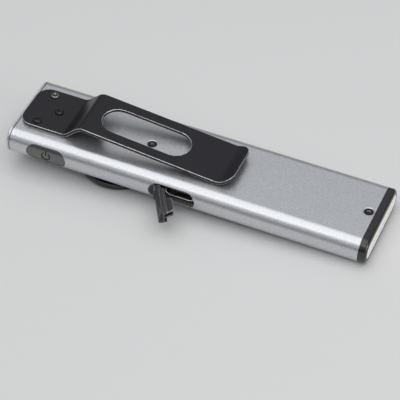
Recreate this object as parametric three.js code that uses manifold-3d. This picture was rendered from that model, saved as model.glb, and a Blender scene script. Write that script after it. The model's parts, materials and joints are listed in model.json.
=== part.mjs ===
// A slim flat pocket flashlight: extruded aluminium body, steel pocket clip on the back, side button,
// charging socket under a hinged rubber flap, and a round thumb switch on the front.
// Millimetres. The origin is the middle of the tail's end face: +X runs to the lens, +Z to the clip
// side (the back), and the button and the socket are on the -Y side.
import * as THREE from "three";
import { mergeVertices } from "three/addons/utils/BufferGeometryUtils.js";
import Module from "manifold-3d";

const wasm = await Module();
wasm.setup();

// Body
const LENGTH = 110;
const WIDTH = 27.4;
const THICKNESS = 8.2;
const SIDE_RADIUS = 3.7;
const WALL = 1.2;

// Clearances
const SEAT = 0.05;
const FIT = 0.1;
const RUNNING = 0.15;
const FLAP_CLEARANCE = 0.3;

// Tail cap, with the tongue that the clip's screws bite into
const CAP_PLATE = 0.8;
const CAP_CHAMFER = 0.3;
const CAP_SPIGOT = 2.4;
const SPIGOT_WALL = 1;
const TONGUE_END = 12.8;
const TONGUE_INSET = 0.6;
const TONGUE_THICKNESS = 1.05;
const SEAL_THICKNESS = 0.15;
const SEAL_INSET = 0.35;

// Head: bezel, window and light engine
const BEZEL_LENGTH = 2.3;
const BEZEL_SPIGOT = 6;
const BEZEL_ROUND = 1.05;
const LENS_WIDTH = 24.9;
const LENS_HEIGHT = 5.2;
const LENS_CORNER = 2.4;
const LENS_THICKNESS = 1.2;
const LENS_SINK = 0.05;
const LENS_SEAL = 0.3;
const HEAD_SEAL_WIDTH = 1;
const HEAD_SEAL_DEPTH = 0.4;
const HEAD_SEAL_BACK = 5;
const REFLECTOR_DEPTH = 3;
const REFLECTOR_WALL = 0.3;
const LED_COUNT = 4;
const LED_PITCH = 5.4;
const LED_WIDTH = 3.5;
const LED_HEIGHT = 2.4;
const LED_DEPTH = 0.7;
const LED_BOARD = 1.2;
const HEAT_SINK = 1.6;
const HEAT_SINK_SIDE_GAP = 1.4;

// Pocket clip, bent from one strip
const CLIP_SHEET = 1;
const CLIP_WIDTH = 16.4;
const CLIP_START = 1.1;
const CLIP_BASE_END = 16.2;
const CLIP_SHOULDER = 20.8;
const CLIP_RISE = 4.5;
const CLIP_BEND = 63.6;
const CLIP_TIP_GAP = 0.3;
const CLIP_END = 67.7;
const CLIP_LIP_RISE = 1.9;
const CLIP_BEND_RADIUS = 1.4;
const CLIP_TAIL_CORNER = 4;
const CLIP_LIP_CORNER = 3.6;
const SLOT_START = 24.8;
const SLOT_LENGTH = 27.1;
const SLOT_WIDTH = 9.8;

// Screws
const CLIP_SCREW_X = 6.3;
const CLIP_SCREW_INSET = 2.45;
const CLIP_SCREW_MID_X = 10.6;
const CLIP_SCREW_RADIUS = 0.8;
const CLIP_HEAD_RADIUS = 1.3;
const CLIP_HEAD_HEIGHT = 0.5;
const BODY_SCREW_MID_X = 40.1;
const BODY_SCREW_FRONT_BACK = 4.2;
const BODY_SCREW_RADIUS = 0.9;
const BODY_HEAD_RADIUS = 1.5;
const BODY_HEAD_SUNK = 0.15;
const SOCKET_RADIUS = 0.62;
const SOCKET_DEPTH = 0.35;

// Side button and its switch
const BUTTON_X = 12.7;
const BUTTON_LENGTH = 12.2;
const BUTTON_HEIGHT = 5.2;
const BUTTON_DEPTH = 1.9;
const BUTTON_SINK = 0.1;
const BUTTON_FLANGE = 0.9;
const BUTTON_FLANGE_DEPTH = 0.7;
const BUTTON_FLANGE_HEIGHT = 4;
const BUTTON_POST_RADIUS = 1.1;
const BUTTON_POST = 0.6;
const BUTTON_TRAVEL = 0.4;
const SIDE_SWITCH_LENGTH = 6;
const SIDE_SWITCH_DEPTH = 2.6;
const SIDE_SWITCH_HEIGHT = 3;
const SIDE_PLUNGER_LENGTH = 2.6;
const SIDE_PLUNGER_HEIGHT = 1.3;
const SIDE_PLUNGER_OUT = 1.3;
const SIDE_PLUNGER_IN = 0.6;

// Charging port: recess in the side, socket behind it
const PORT_X = 52;
const PORT_LENGTH = 14.25;
const PORT_HEIGHT = 5.4;
const PORT_DEPTH = 3.1;
const PORT_PLATE = 0.5;
const PORT_PLATE_HEIGHT = 4.8;
const SOCKET_SHIFT = 1.8;
const SOCKET_WIDTH = 8.94;
const SOCKET_HEIGHT = 3.2;
const SOCKET_WALL = 0.3;
const SOCKET_LENGTH = 7.3;
const SOCKET_PROUD = 1;
const USB_TONGUE_WIDTH = 6.69;
const USB_TONGUE_HEIGHT = 0.7;
const USB_TONGUE_SET_BACK = 0.95;
const USB_CORE_LENGTH = 1.6;

// Rubber flap over the port, shown swung open
const ANCHOR_LENGTH = 2.125;
const HINGE_SINK = 0.35;
const KNUCKLE_RADIUS = 0.5;
const STRAP_HEIGHT = 4;
const STRAP_LENGTH = 1.7;
const FLAP_OPEN = 60;
const ANCHOR_STEM_RADIUS = 0.7;
const ANCHOR_STEM = 1;
const PLUG_BACK = 3;
const PLUG_LENGTH = 6.6;
const PLUG_TAPER = 1.3;
const PLUG_HEIGHT = 2.2;
const PLUG_DEPTH = 2.9;
const PLUG_SLOT = 1.1;

// Thumb switch on the front
const THUMB_X = 30;
const RING_RADIUS = 11.75;
const RING_HEIGHT = 3.2;
const RING_FLANGE = 1.8;
const RING_EDGE = 0.4;
const NECK_RADIUS = 9.7;
const THUMB_HOLE_RADIUS = 8.5;
const COLLAR_WALL = 0.8;
const THUMB_CAP_RADIUS = 6.6;
const THUMB_CAP_SINK = 0.6;
const THUMB_CAP_DISH = 0.35;
const THUMB_LEDGE = 2;
const THUMB_FLANGE = 0.7;
const THUMB_TRAVEL = 0.4;
const TACT_SIDE = 6;
const TACT_HEIGHT = 1.2;
const TACT_PLUNGER_RADIUS = 1.5;
const TACT_PLUNGER_IN = 0.7;

// Circuit board, chassis and cell
const BOARD_START = 4.6;
const BOARD_END = 60.6;
const BOARD_THICKNESS = 0.8;
const BOARD_SIDE_GAP = 3.8;
const CHIP_X = 34.5;
const CHIP_Y = 5.5;
const CHIP_SIDE = 4;
const CHIP_HEIGHT = 0.9;
const COIL_X = 46.4;
const COIL_Y = 5;
const COIL_SIDE = 5;
const COIL_HEIGHT = 2.4;
const RAIL_OUT = 1.7;
const RAIL_WIDTH = 1;
const RAIL_HEIGHT = 2.4;
const RAIL_START = 20.6;
const BAR_WIDTH = 1.4;
const BAR_HEIGHT = 0.9;
const BOSS_RADIUS = 2.3;
const BOSS_SCREW_DEPTH = 3.6;
const CELL_START = 63.2;
const CELL_WIDTH = 19.8;
const CELL_CORNER = 1;
const CELL_GAP = 0.5;
const PAD_THICKNESS = 0.35;
const WIRE_RADIUS = 0.35;
const WIRE_LIFT = 0.2;
const CELL_LEAD_Y = 3;
const CELL_LEAD_SPACING = 3;

// Facets
const ARC_STEPS = 4;
const SIDE_STEPS = 6;
const ROUND_STEPS = 24;
const RING_STEPS = 48;
const BEND_STEPS = 5;
const EDGE_STEPS = 5;

// Places that follow from the sizes above
const HALF_WIDTH = WIDTH / 2;
const BACK_Z = THICKNESS / 2;
const FRONT_Z = -BACK_Z;
const CAVITY_Z = BACK_Z - WALL;
const BODY_START = CAP_PLATE + SEAL_THICKNESS + 2 * SEAT;
const BEZEL_START = LENGTH - BEZEL_LENGTH;
const BODY_END = BEZEL_START - FIT;
const SPIGOT_START = BODY_END - BEZEL_SPIGOT;
const LENS_FRONT = LENGTH - LENS_SINK;
const LENS_BACK = LENS_FRONT - LENS_THICKNESS;
const LENS_SEAT = LENS_BACK - LENS_SEAL - 2 * SEAT;
const BODY_SCREW_HEAD_X = LENGTH - BODY_SCREW_FRONT_BACK;
const SIDE_Y = -HALF_WIDTH;
const PORT_START = PORT_X - PORT_LENGTH / 2;
const PORT_END = PORT_X + PORT_LENGTH / 2;
const PORT_FLOOR_Y = SIDE_Y + PORT_DEPTH;
const SOCKET_X = PORT_X + SOCKET_SHIFT;
const SOCKET_FRONT_Y = PORT_FLOOR_Y - SOCKET_PROUD;
const BOARD_TOP = -SOCKET_HEIGHT / 2 - SEAT;
const BOARD_BOTTOM = BOARD_TOP - BOARD_THICKNESS;
const BOARD_HALF_WIDTH = HALF_WIDTH - BOARD_SIDE_GAP;
const HINGE_X = PORT_START + ANCHOR_LENGTH;
const HINGE_Y = SIDE_Y + HINGE_SINK;
const PLUG_START = SOCKET_X - PLUG_BACK;
const TONGUE_HALF_WIDTH = CLIP_WIDTH / 2 - TONGUE_INSET;
const CLIP_SCREW_Y = CLIP_WIDTH / 2 - CLIP_SCREW_INSET;

// Materials
const colours = {
  aluminium: [0xa9abb1, 0.42, 1],
  darkMetal: [0x38383c, 0.4, 0.6],
  blackSteel: [0x36363a, 0.35, 0.7],
  rubber: [0x3c3d41, 0.75, 0],
  seal: [0x18181a, 0.85, 0],
  lens: [0xf0e8df, 0.25, 0],
  white: [0xf2f2ee, 0.5, 0],
  led: [0xe9d46a, 0.4, 0],
  steel: [0xb9bbc0, 0.3, 1],
  plastic: [0x1f2023, 0.6, 0],
  board: [0x1d5a38, 0.55, 0],
  foil: [0xb4b6ba, 0.4, 0.8],
  foam: [0x55565a, 0.95, 0],
  red: [0xa32020, 0.5, 0],
  black: [0x151517, 0.5, 0],
};

function material(name) {
  const [color, roughness, metalness] = colours[name];
  return new THREE.MeshStandardMaterial({ color, roughness, metalness });
}

// Solids from three.js geometry, and their joins and cuts

function solidOf(geometry) {
  const bare = geometry.clone();
  bare.deleteAttribute("normal");
  bare.deleteAttribute("uv");
  const merged = mergeVertices(bare, 1e-4);
  const index = merged.index.array;
  const kept = [];
  for (let i = 0; i < index.length; i += 3) {
    const [a, b, c] = [index[i], index[i + 1], index[i + 2]];
    if (a !== b && b !== c && a !== c) kept.push(a, b, c);
  }
  const vertProperties = merged.attributes.position.array;
  return new wasm.Manifold(
    new wasm.Mesh({ numProp: 3, vertProperties, triVerts: new Uint32Array(kept) }),
  );
}

function join(...solids) {
  return solids.reduce((sum, next) => sum.add(next));
}

function cut(solid, ...tools) {
  return tools.reduce((left, tool) => left.subtract(tool), solid);
}

function geometryOf(solid) {
  const { vertProperties, triVerts } = solid.getMesh();
  const shared = new THREE.BufferGeometry();
  shared.setAttribute("position", new THREE.BufferAttribute(vertProperties, 3));
  shared.setIndex(new THREE.BufferAttribute(triVerts, 1));
  const geometry = shared.toNonIndexed();
  geometry.computeVertexNormals();
  return geometry;
}

// Outlines

function roundedRectangle(width, height, radius) {
  const x = width / 2;
  const y = height / 2;
  const r = Math.min(radius, x, y);
  const shape = new THREE.Shape();
  shape.absarc(x - r, y - r, r, 0, Math.PI / 2);
  shape.absarc(r - x, y - r, r, Math.PI / 2, Math.PI);
  shape.absarc(r - x, r - y, r, Math.PI, 1.5 * Math.PI);
  shape.absarc(x - r, r - y, r, 1.5 * Math.PI, 2 * Math.PI);
  return shape;
}

function stadium(length, height) {
  const r = height / 2;
  const reach = length / 2 - r;
  const shape = new THREE.Shape();
  shape.absarc(reach, 0, r, -Math.PI / 2, Math.PI / 2);
  shape.absarc(-reach, 0, r, Math.PI / 2, 1.5 * Math.PI);
  return shape;
}

// The body's section, inset all round
function section(inset) {
  return roundedRectangle(WIDTH - 2 * inset, THICKNESS - 2 * inset, Math.max(SIDE_RADIUS - inset, 0.2));
}

// Prisms along the three axes; the outline's own axes are Y and Z, X and Z, and X and Y

function extrude(shape, depth, curveSegments = ARC_STEPS) {
  return new THREE.ExtrudeGeometry(shape, { depth, bevelEnabled: false, curveSegments });
}

function alongX(shape, x0, x1) {
  const geometry = extrude(shape, x1 - x0, SIDE_STEPS);
  geometry.applyMatrix4(
    new THREE.Matrix4().makeBasis(
      new THREE.Vector3(0, 1, 0),
      new THREE.Vector3(0, 0, 1),
      new THREE.Vector3(1, 0, 0),
    ),
  );
  return solidOf(geometry.translate(x0, 0, 0));
}

function alongY(shape, y0, y1, x = 0, z = 0) {
  const geometry = extrude(shape, y1 - y0).rotateX(Math.PI / 2);
  return solidOf(geometry.translate(x, y1, z));
}

function alongZ(shape, z0, z1, x = 0, y = 0) {
  return solidOf(extrude(shape, z1 - z0).translate(x, y, z0));
}

function box(x0, x1, y0, y1, z0, z1) {
  const geometry = new THREE.BoxGeometry(x1 - x0, y1 - y0, z1 - z0);
  return solidOf(geometry.translate((x0 + x1) / 2, (y0 + y1) / 2, (z0 + z1) / 2));
}

// A solid of revolution about an upright axis, from [radius, z] points that run up its outside
function turned(points, x, y, steps = ROUND_STEPS) {
  const profile = points.map(([r, z]) => new THREE.Vector2(r, z));
  const geometry = new THREE.LatheGeometry(profile, steps).rotateX(Math.PI / 2);
  return solidOf(geometry.translate(x, y, 0));
}

function rod(radius, z0, z1, x, y, steps = ROUND_STEPS) {
  return turned([[0, z0], [radius, z0], [radius, z1], [0, z1]], x, y, steps);
}

// A round rod along Y
function crossRod(radius, y0, y1, x, z) {
  const geometry = new THREE.CylinderGeometry(radius, radius, y1 - y0, ROUND_STEPS);
  return solidOf(geometry.translate(x, (y0 + y1) / 2, z));
}

// A solid through a row of sections of the same kind, given as [x, outline] from tail to head
function lofted(rows) {
  const rings = rows.map(([x, shape]) => {
    const ring = shape.getPoints(SIDE_STEPS);
    if (ring[0].distanceTo(ring.at(-1)) < 1e-6) ring.pop();
    return ring.map((p) => new THREE.Vector3(x, p.x, p.y));
  });
  const count = rings[0].length;
  const points = rings.flat();
  const index = [];
  for (let i = 1; i < count - 1; i += 1) {
    const last = (rings.length - 1) * count;
    index.push(0, i + 1, i);
    index.push(last, last + i, last + i + 1);
  }
  for (let k = 0; k < rings.length - 1; k += 1) {
    for (let i = 0; i < count; i += 1) {
      const a = k * count + i;
      const b = k * count + ((i + 1) % count);
      index.push(a, b, b + count, a, b + count, a + count);
    }
  }
  const geometry = new THREE.BufferGeometry().setFromPoints(points);
  geometry.setIndex(index);
  return solidOf(geometry);
}

// A wire along a smooth curve through the points
function wire(points) {
  const curve = new THREE.CatmullRomCurve3(points.map((p) => new THREE.Vector3(...p)));
  const round = new THREE.Shape().absarc(0, 0, WIRE_RADIUS, 0, 2 * Math.PI);
  return solidOf(
    new THREE.ExtrudeGeometry(round, { steps: 16, extrudePath: curve, curveSegments: ARC_STEPS }),
  );
}

// The flashlight, one named mesh for each piece

const flashlight = new THREE.Group();

function place(name, solid, finish, parent = flashlight) {
  const mesh = new THREE.Mesh(geometryOf(solid), material(finish));
  mesh.name = name;
  parent.add(mesh);
}

// Body: an extruded tube, drilled and milled

function countersunk(x) {
  const rim = BODY_HEAD_RADIUS + FIT;
  const hole = BODY_SCREW_RADIUS + FIT;
  return turned(
    [[0, 0], [hole, 0], [hole, BACK_Z - (rim - hole)], [rim, BACK_Z], [rim, BACK_Z + 1], [0, BACK_Z + 1]],
    x,
    0,
  );
}

const clipScrews = [
  [CLIP_SCREW_X, CLIP_SCREW_Y],
  [CLIP_SCREW_MID_X, 0],
  [CLIP_SCREW_X, -CLIP_SCREW_Y],
];

const screwHoles = (z0, z1) =>
  clipScrews.map(([x, y]) => rod(CLIP_SCREW_RADIUS + FIT, z0, z1, x, y));

const sideCutDepth = SIDE_Y + SIDE_RADIUS;
const body = cut(
  alongX(section(0), BODY_START, BODY_END),
  alongX(section(WALL), 0, LENGTH),
  ...screwHoles(0, BACK_Z + 1),
  countersunk(BODY_SCREW_MID_X),
  countersunk(BODY_SCREW_HEAD_X),
  alongY(
    stadium(BUTTON_LENGTH + 2 * RUNNING, BUTTON_HEIGHT + 2 * RUNNING),
    SIDE_Y - 1,
    sideCutDepth,
    BUTTON_X,
  ),
  alongY(stadium(PORT_LENGTH, PORT_HEIGHT), SIDE_Y - 1, sideCutDepth, PORT_X),
  rod(THUMB_HOLE_RADIUS, FRONT_Z - 1, FRONT_Z + WALL + 1, THUMB_X, 0, RING_STEPS),
);
place("body_shell", body, "aluminium");

// Tail cap: chamfered plate, ring spigot and the tongue under the clip

const tongueTop = CAVITY_Z - FIT;
const tongueBottom = tongueTop - TONGUE_THICKNESS;
const spigotInset = WALL + FIT;
const tailCap = cut(
  join(
    lofted([[0, section(CAP_CHAMFER)], [CAP_CHAMFER, section(0)], [CAP_PLATE, section(0)]]),
    cut(
      alongX(section(spigotInset), CAP_PLATE / 2, CAP_PLATE + CAP_SPIGOT),
      alongX(section(spigotInset + SPIGOT_WALL), CAP_PLATE, CAP_PLATE + CAP_SPIGOT + 1),
    ),
    box(CAP_PLATE / 2, TONGUE_END, -TONGUE_HALF_WIDTH, TONGUE_HALF_WIDTH, tongueBottom, tongueTop),
  ),
  ...screwHoles(0, BACK_Z),
);
place("tail_cap", tailCap, "aluminium");

const sealStart = CAP_PLATE + SEAT;
place(
  "tail_seal",
  cut(
    alongX(section(SEAL_INSET), sealStart, sealStart + SEAL_THICKNESS),
    alongX(section(WALL), 0, LENGTH),
  ),
  "seal",
);

// Head bezel: a rim with a rounded front edge, and a spigot with a groove for its seal

const boreInset = spigotInset + SPIGOT_WALL;
const grooveStart = BODY_END - HEAD_SEAL_BACK;
const headScrewTip = CAVITY_Z - FIT - SPIGOT_WALL;

// The lens's outline, inset all round
function lensOutline(inset) {
  return roundedRectangle(LENS_WIDTH - 2 * inset, LENS_HEIGHT - 2 * inset, LENS_CORNER - inset);
}

const roundedEdge = Array.from({ length: EDGE_STEPS + 1 }, (_, i) => {
  const turn = (i / EDGE_STEPS) * (Math.PI / 2);
  const x = LENGTH - BEZEL_ROUND * (1 - Math.sin(turn));
  return [x, section(BEZEL_ROUND * (1 - Math.cos(turn)))];
});
const bezel = cut(
  join(
    lofted([[BEZEL_START, section(0)], ...roundedEdge]),
    alongX(section(spigotInset), SPIGOT_START, BEZEL_START + BEZEL_LENGTH / 2),
  ),
  alongX(section(boreInset), 0, LENGTH),
  alongX(lensOutline(0), LENS_SEAT, LENGTH + 1),
  cut(
    alongX(section(0), grooveStart, grooveStart + HEAD_SEAL_WIDTH),
    alongX(section(spigotInset + HEAD_SEAL_DEPTH), 0, LENGTH),
  ),
  rod(BODY_SCREW_RADIUS + FIT, 0, BACK_Z, BODY_SCREW_HEAD_X, 0),
);
place("head_bezel", bezel, "darkMetal");

place(
  "head_seal",
  cut(
    alongX(section(WALL + SEAT), grooveStart + FIT, grooveStart + HEAD_SEAL_WIDTH - FIT),
    alongX(section(spigotInset + HEAD_SEAL_DEPTH - FIT), 0, LENGTH),
  ),
  "seal",
);

place("lens", alongX(lensOutline(FIT), LENS_BACK, LENS_FRONT), "lens");

const lensSealStart = LENS_SEAT + SEAT;
place(
  "lens_seal",
  cut(
    alongX(lensOutline(FIT), lensSealStart, lensSealStart + LENS_SEAL),
    alongX(section(boreInset), 0, LENGTH),
  ),
  "seal",
);

// Light engine: a row of emitters on a board, cups in a white reflector, heat sink behind

const reflectorFront = LENS_SEAT;
const reflectorBack = reflectorFront - REFLECTOR_DEPTH;
const ledPlaces = Array.from({ length: LED_COUNT }, (_, i) => (i - (LED_COUNT - 1) / 2) * LED_PITCH);
const ledBoardFront = reflectorBack - SEAT;
const ledBoardBack = ledBoardFront - LED_BOARD;
const ledBack = ledBoardFront + SEAT / 2;
const boreHalfHeight = BACK_Z - boreInset;
const boreHalfWidth = HALF_WIDTH - boreInset;

function atRow(shape, y) {
  const moved = new THREE.Shape(shape.getPoints(ARC_STEPS).map((p) => new THREE.Vector2(p.x + y, p.y)));
  return moved;
}

function cup(y) {
  const backWidth = LED_WIDTH + 2 * RUNNING;
  const backHeight = LED_HEIGHT + 2 * RUNNING;
  const frontWidth = LED_PITCH - REFLECTOR_WALL;
  const frontHeight = 2 * (boreHalfHeight - FIT - REFLECTOR_WALL);
  const corner = RUNNING;
  return lofted([
    [reflectorBack - 1, atRow(roundedRectangle(backWidth, backHeight, corner), y)],
    [reflectorBack + LED_DEPTH, atRow(roundedRectangle(backWidth, backHeight, corner), y)],
    [reflectorFront + SEAT, atRow(roundedRectangle(frontWidth, frontHeight, corner), y)],
  ]);
}

place(
  "reflector",
  cut(
    alongX(section(boreInset + FIT), reflectorBack, reflectorFront),
    ...ledPlaces.map(cup),
  ),
  "white",
);

place("led_board", alongX(section(boreInset + FIT), ledBoardBack, ledBoardFront), "white");

ledPlaces.forEach((y, i) => {
  const emitter = box(
    ledBack,
    ledBack + LED_DEPTH,
    y - LED_WIDTH / 2,
    y + LED_WIDTH / 2,
    -LED_HEIGHT / 2,
    LED_HEIGHT / 2,
  );
  place(`led_${i + 1}`, emitter, "led");
});

const sinkFront = ledBoardBack - SEAT;
const sinkHalfWidth = boreHalfWidth - HEAT_SINK_SIDE_GAP;
const sinkHalfHeight = boreHalfHeight - FIT;
place(
  "heat_sink",
  box(sinkFront - HEAT_SINK, sinkFront, -sinkHalfWidth, sinkHalfWidth, -sinkHalfHeight, sinkHalfHeight),
  "foil",
);

// Pocket clip: a strip bent three times, trimmed to its plan outline and slotted

// The outline of a strip of the given thickness along a bent centre line, with rounded bends
function bentStrip(points, radius, thickness) {
  const path = points.map(([x, z]) => new THREE.Vector2(x, z));
  const centre = [path[0]];
  for (let i = 1; i < path.length - 1; i += 1) {
    const back = path[i - 1].clone().sub(path[i]).normalize();
    const ahead = path[i + 1].clone().sub(path[i]).normalize();
    const half = Math.acos(back.dot(ahead)) / 2;
    const reach = radius / Math.tan(half);
    const from = path[i].clone().addScaledVector(back, reach);
    const to = path[i].clone().addScaledVector(ahead, reach);
    const bend = new THREE.QuadraticBezierCurve(from, path[i], to);
    centre.push(...bend.getPoints(BEND_STEPS));
  }
  centre.push(path.at(-1));
  const side = (sign) =>
    centre.map((p, i) => {
      const before = centre[Math.max(i - 1, 0)];
      const after = centre[Math.min(i + 1, centre.length - 1)];
      const along = after.clone().sub(before).normalize();
      return new THREE.Vector2(p.x - along.y * sign * thickness * 0.5, p.y + along.x * sign * thickness * 0.5);
    });
  return new THREE.Shape([...side(-1), ...side(1).reverse()]);
}

// A plan outline with one corner radius at each end
function clipPlan() {
  const y = CLIP_WIDTH / 2;
  const [a, b] = [CLIP_TAIL_CORNER, CLIP_LIP_CORNER];
  const shape = new THREE.Shape();
  shape.absarc(CLIP_END - b, y - b, b, 0, Math.PI / 2);
  shape.absarc(CLIP_START + a, y - a, a, Math.PI / 2, Math.PI);
  shape.absarc(CLIP_START + a, a - y, a, Math.PI, 1.5 * Math.PI);
  shape.absarc(CLIP_END - b, b - y, b, 1.5 * Math.PI, 2 * Math.PI);
  return shape;
}

const clipBaseZ = BACK_Z + SEAT + CLIP_SHEET / 2;
const clipTipZ = BACK_Z + CLIP_TIP_GAP + CLIP_SHEET / 2;
const clipTop = clipBaseZ + CLIP_SHEET / 2;
const clipProfile = bentStrip(
  [
    [CLIP_START - 1, clipBaseZ],
    [CLIP_BASE_END, clipBaseZ],
    [CLIP_SHOULDER, clipBaseZ + CLIP_RISE],
    [CLIP_BEND, clipTipZ],
    [CLIP_END + 1, clipTipZ + (CLIP_LIP_RISE * (CLIP_END + 1 - CLIP_BEND)) / (CLIP_END - CLIP_BEND)],
  ],
  CLIP_BEND_RADIUS,
  CLIP_SHEET,
);
const clipCeiling = clipTop + CLIP_RISE + 1;
const clip = cut(
  alongY(clipProfile, -CLIP_WIDTH, CLIP_WIDTH).intersect(alongZ(clipPlan(), BACK_Z, clipCeiling)),
  alongZ(stadium(SLOT_LENGTH, SLOT_WIDTH), BACK_Z, clipCeiling, SLOT_START + SLOT_LENGTH / 2),
  ...screwHoles(0, clipCeiling),
);
place("pocket_clip", clip, "blackSteel");

// Screws, each with a six-sided socket

function socket(x, y, top) {
  return rod(SOCKET_RADIUS, top - SOCKET_DEPTH, top + 1, x, y, 6);
}

clipScrews.forEach(([x, y], i) => {
  const seat = clipTop + SEAT;
  const top = seat + CLIP_HEAD_HEIGHT;
  const shoulder = CLIP_HEAD_HEIGHT / 2;
  const screw = turned(
    [
      [0, tongueBottom],
      [CLIP_SCREW_RADIUS, tongueBottom],
      [CLIP_SCREW_RADIUS, seat],
      [CLIP_HEAD_RADIUS, seat],
      [CLIP_HEAD_RADIUS, top - shoulder],
      [CLIP_HEAD_RADIUS - shoulder, top],
      [0, top],
    ],
    x,
    y,
  );
  place(`clip_screw_${i + 1}`, cut(screw, socket(x, y, top)), "blackSteel");
});

function bodyScrew(x, tip) {
  const top = BACK_Z - BODY_HEAD_SUNK;
  const sink = BODY_HEAD_RADIUS - BODY_SCREW_RADIUS;
  const neck = BACK_Z - sink - FIT;
  const screw = turned(
    [
      [0, tip],
      [BODY_SCREW_RADIUS, tip],
      [BODY_SCREW_RADIUS, neck],
      [BODY_SCREW_RADIUS + top - neck, top],
      [0, top],
    ],
    x,
    0,
  );
  return cut(screw, socket(x, 0, top));
}

const boardScrewTip = CAVITY_Z - BOSS_SCREW_DEPTH;
place("body_screw_mid", bodyScrew(BODY_SCREW_MID_X, boardScrewTip), "blackSteel");
place("body_screw_head", bodyScrew(BODY_SCREW_HEAD_X, headScrewTip), "blackSteel");

// Side button: rubber cap that follows the body's side, with a flange and a post behind it

const buttonBack = SIDE_Y + BUTTON_DEPTH;
const flangeBack = buttonBack + BUTTON_FLANGE_DEPTH;
const postBack = flangeBack + BUTTON_POST;
const button = join(
  alongY(stadium(BUTTON_LENGTH, BUTTON_HEIGHT), SIDE_Y - 1, buttonBack + SEAT, BUTTON_X).intersect(
    alongX(section(BUTTON_SINK), 0, LENGTH),
  ),
  alongY(stadium(BUTTON_LENGTH + 2 * BUTTON_FLANGE, BUTTON_FLANGE_HEIGHT), buttonBack, flangeBack, BUTTON_X),
  crossRod(BUTTON_POST_RADIUS, flangeBack - SEAT, postBack, BUTTON_X, 0),
);
place("side_button", button, "rubber");

const sidePlungerFront = postBack + FIT;
const sideSwitchFront = sidePlungerFront + SIDE_PLUNGER_OUT;
const sideSwitchBottom = BOARD_TOP + SEAT;
const sidePlungerBack = sideSwitchFront + SIDE_PLUNGER_IN;
const plungerHalf = SIDE_PLUNGER_LENGTH / 2;
const plungerHalfHeight = SIDE_PLUNGER_HEIGHT / 2;
place(
  "side_switch",
  cut(
    box(
      BUTTON_X - SIDE_SWITCH_LENGTH / 2,
      BUTTON_X + SIDE_SWITCH_LENGTH / 2,
      sideSwitchFront,
      sideSwitchFront + SIDE_SWITCH_DEPTH,
      sideSwitchBottom,
      sideSwitchBottom + SIDE_SWITCH_HEIGHT,
    ),
    box(
      BUTTON_X - plungerHalf - RUNNING,
      BUTTON_X + plungerHalf + RUNNING,
      sideSwitchFront - 1,
      sidePlungerBack + BUTTON_TRAVEL + RUNNING,
      -plungerHalfHeight - RUNNING,
      plungerHalfHeight + RUNNING,
    ),
  ),
  "steel",
);
place(
  "side_switch_plunger",
  box(
    BUTTON_X - plungerHalf,
    BUTTON_X + plungerHalf,
    sidePlungerFront,
    sidePlungerBack,
    -plungerHalfHeight,
    plungerHalfHeight,
  ),
  "plastic",
);

// Charging socket: steel shell with its contact tongue

const shellBack = SOCKET_FRONT_Y + SOCKET_LENGTH;
const shellInnerWidth = SOCKET_WIDTH - 2 * SOCKET_WALL;
const shellInnerHeight = SOCKET_HEIGHT - 2 * SOCKET_WALL;
place(
  "usb_socket_shell",
  cut(
    alongY(stadium(SOCKET_WIDTH, SOCKET_HEIGHT), SOCKET_FRONT_Y, shellBack, SOCKET_X),
    alongY(stadium(shellInnerWidth, shellInnerHeight), SOCKET_FRONT_Y - 1, shellBack + 1, SOCKET_X),
  ),
  "steel",
);
const tongueFront = SOCKET_FRONT_Y + USB_TONGUE_SET_BACK;
place(
  "usb_socket_tongue",
  join(
    alongY(
      stadium(shellInnerWidth - 2 * FIT, shellInnerHeight - 2 * FIT),
      shellBack - USB_CORE_LENGTH,
      shellBack,
      SOCKET_X,
    ),
    box(
      SOCKET_X - USB_TONGUE_WIDTH / 2,
      SOCKET_X + USB_TONGUE_WIDTH / 2,
      tongueFront,
      shellBack - USB_CORE_LENGTH / 2,
      -USB_TONGUE_HEIGHT / 2,
      USB_TONGUE_HEIGHT / 2,
    ),
  ),
  "plastic",
);

// Rubber port cover: an anchor in the tail end of the recess and the flap that hinges on it

const recess = (clearance, y0, y1) =>
  alongY(
    stadium(PORT_LENGTH - 2 * clearance, PORT_HEIGHT - 2 * clearance),
    y0,
    y1,
    PORT_X,
  ).intersect(alongX(section(SEAT), 0, LENGTH));
const anchorEnd = HINGE_X - KNUCKLE_RADIUS - FIT;
const anchorBack = PORT_FLOOR_Y - SEAT;
const anchorStemX = (PORT_START + anchorEnd) / 2;
const knuckleSeat = rod(KNUCKLE_RADIUS + RUNNING, FRONT_Z, BACK_Z, HINGE_X, HINGE_Y);
const anchor = join(
  cut(
    recess(FIT, SIDE_Y - 1, anchorBack).intersect(
      box(PORT_START - 1, HINGE_X, SIDE_Y - 1, anchorBack + 1, FRONT_Z, BACK_Z),
    ),
    knuckleSeat,
    box(anchorEnd, HINGE_X + 1, SIDE_Y - 1, anchorBack + 1, FRONT_Z, BACK_Z),
  ),
  crossRod(ANCHOR_STEM_RADIUS, anchorBack - SEAT, anchorBack + ANCHOR_STEM, anchorStemX, 0),
);
place("port_cover_anchor", anchor, "rubber");

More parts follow.
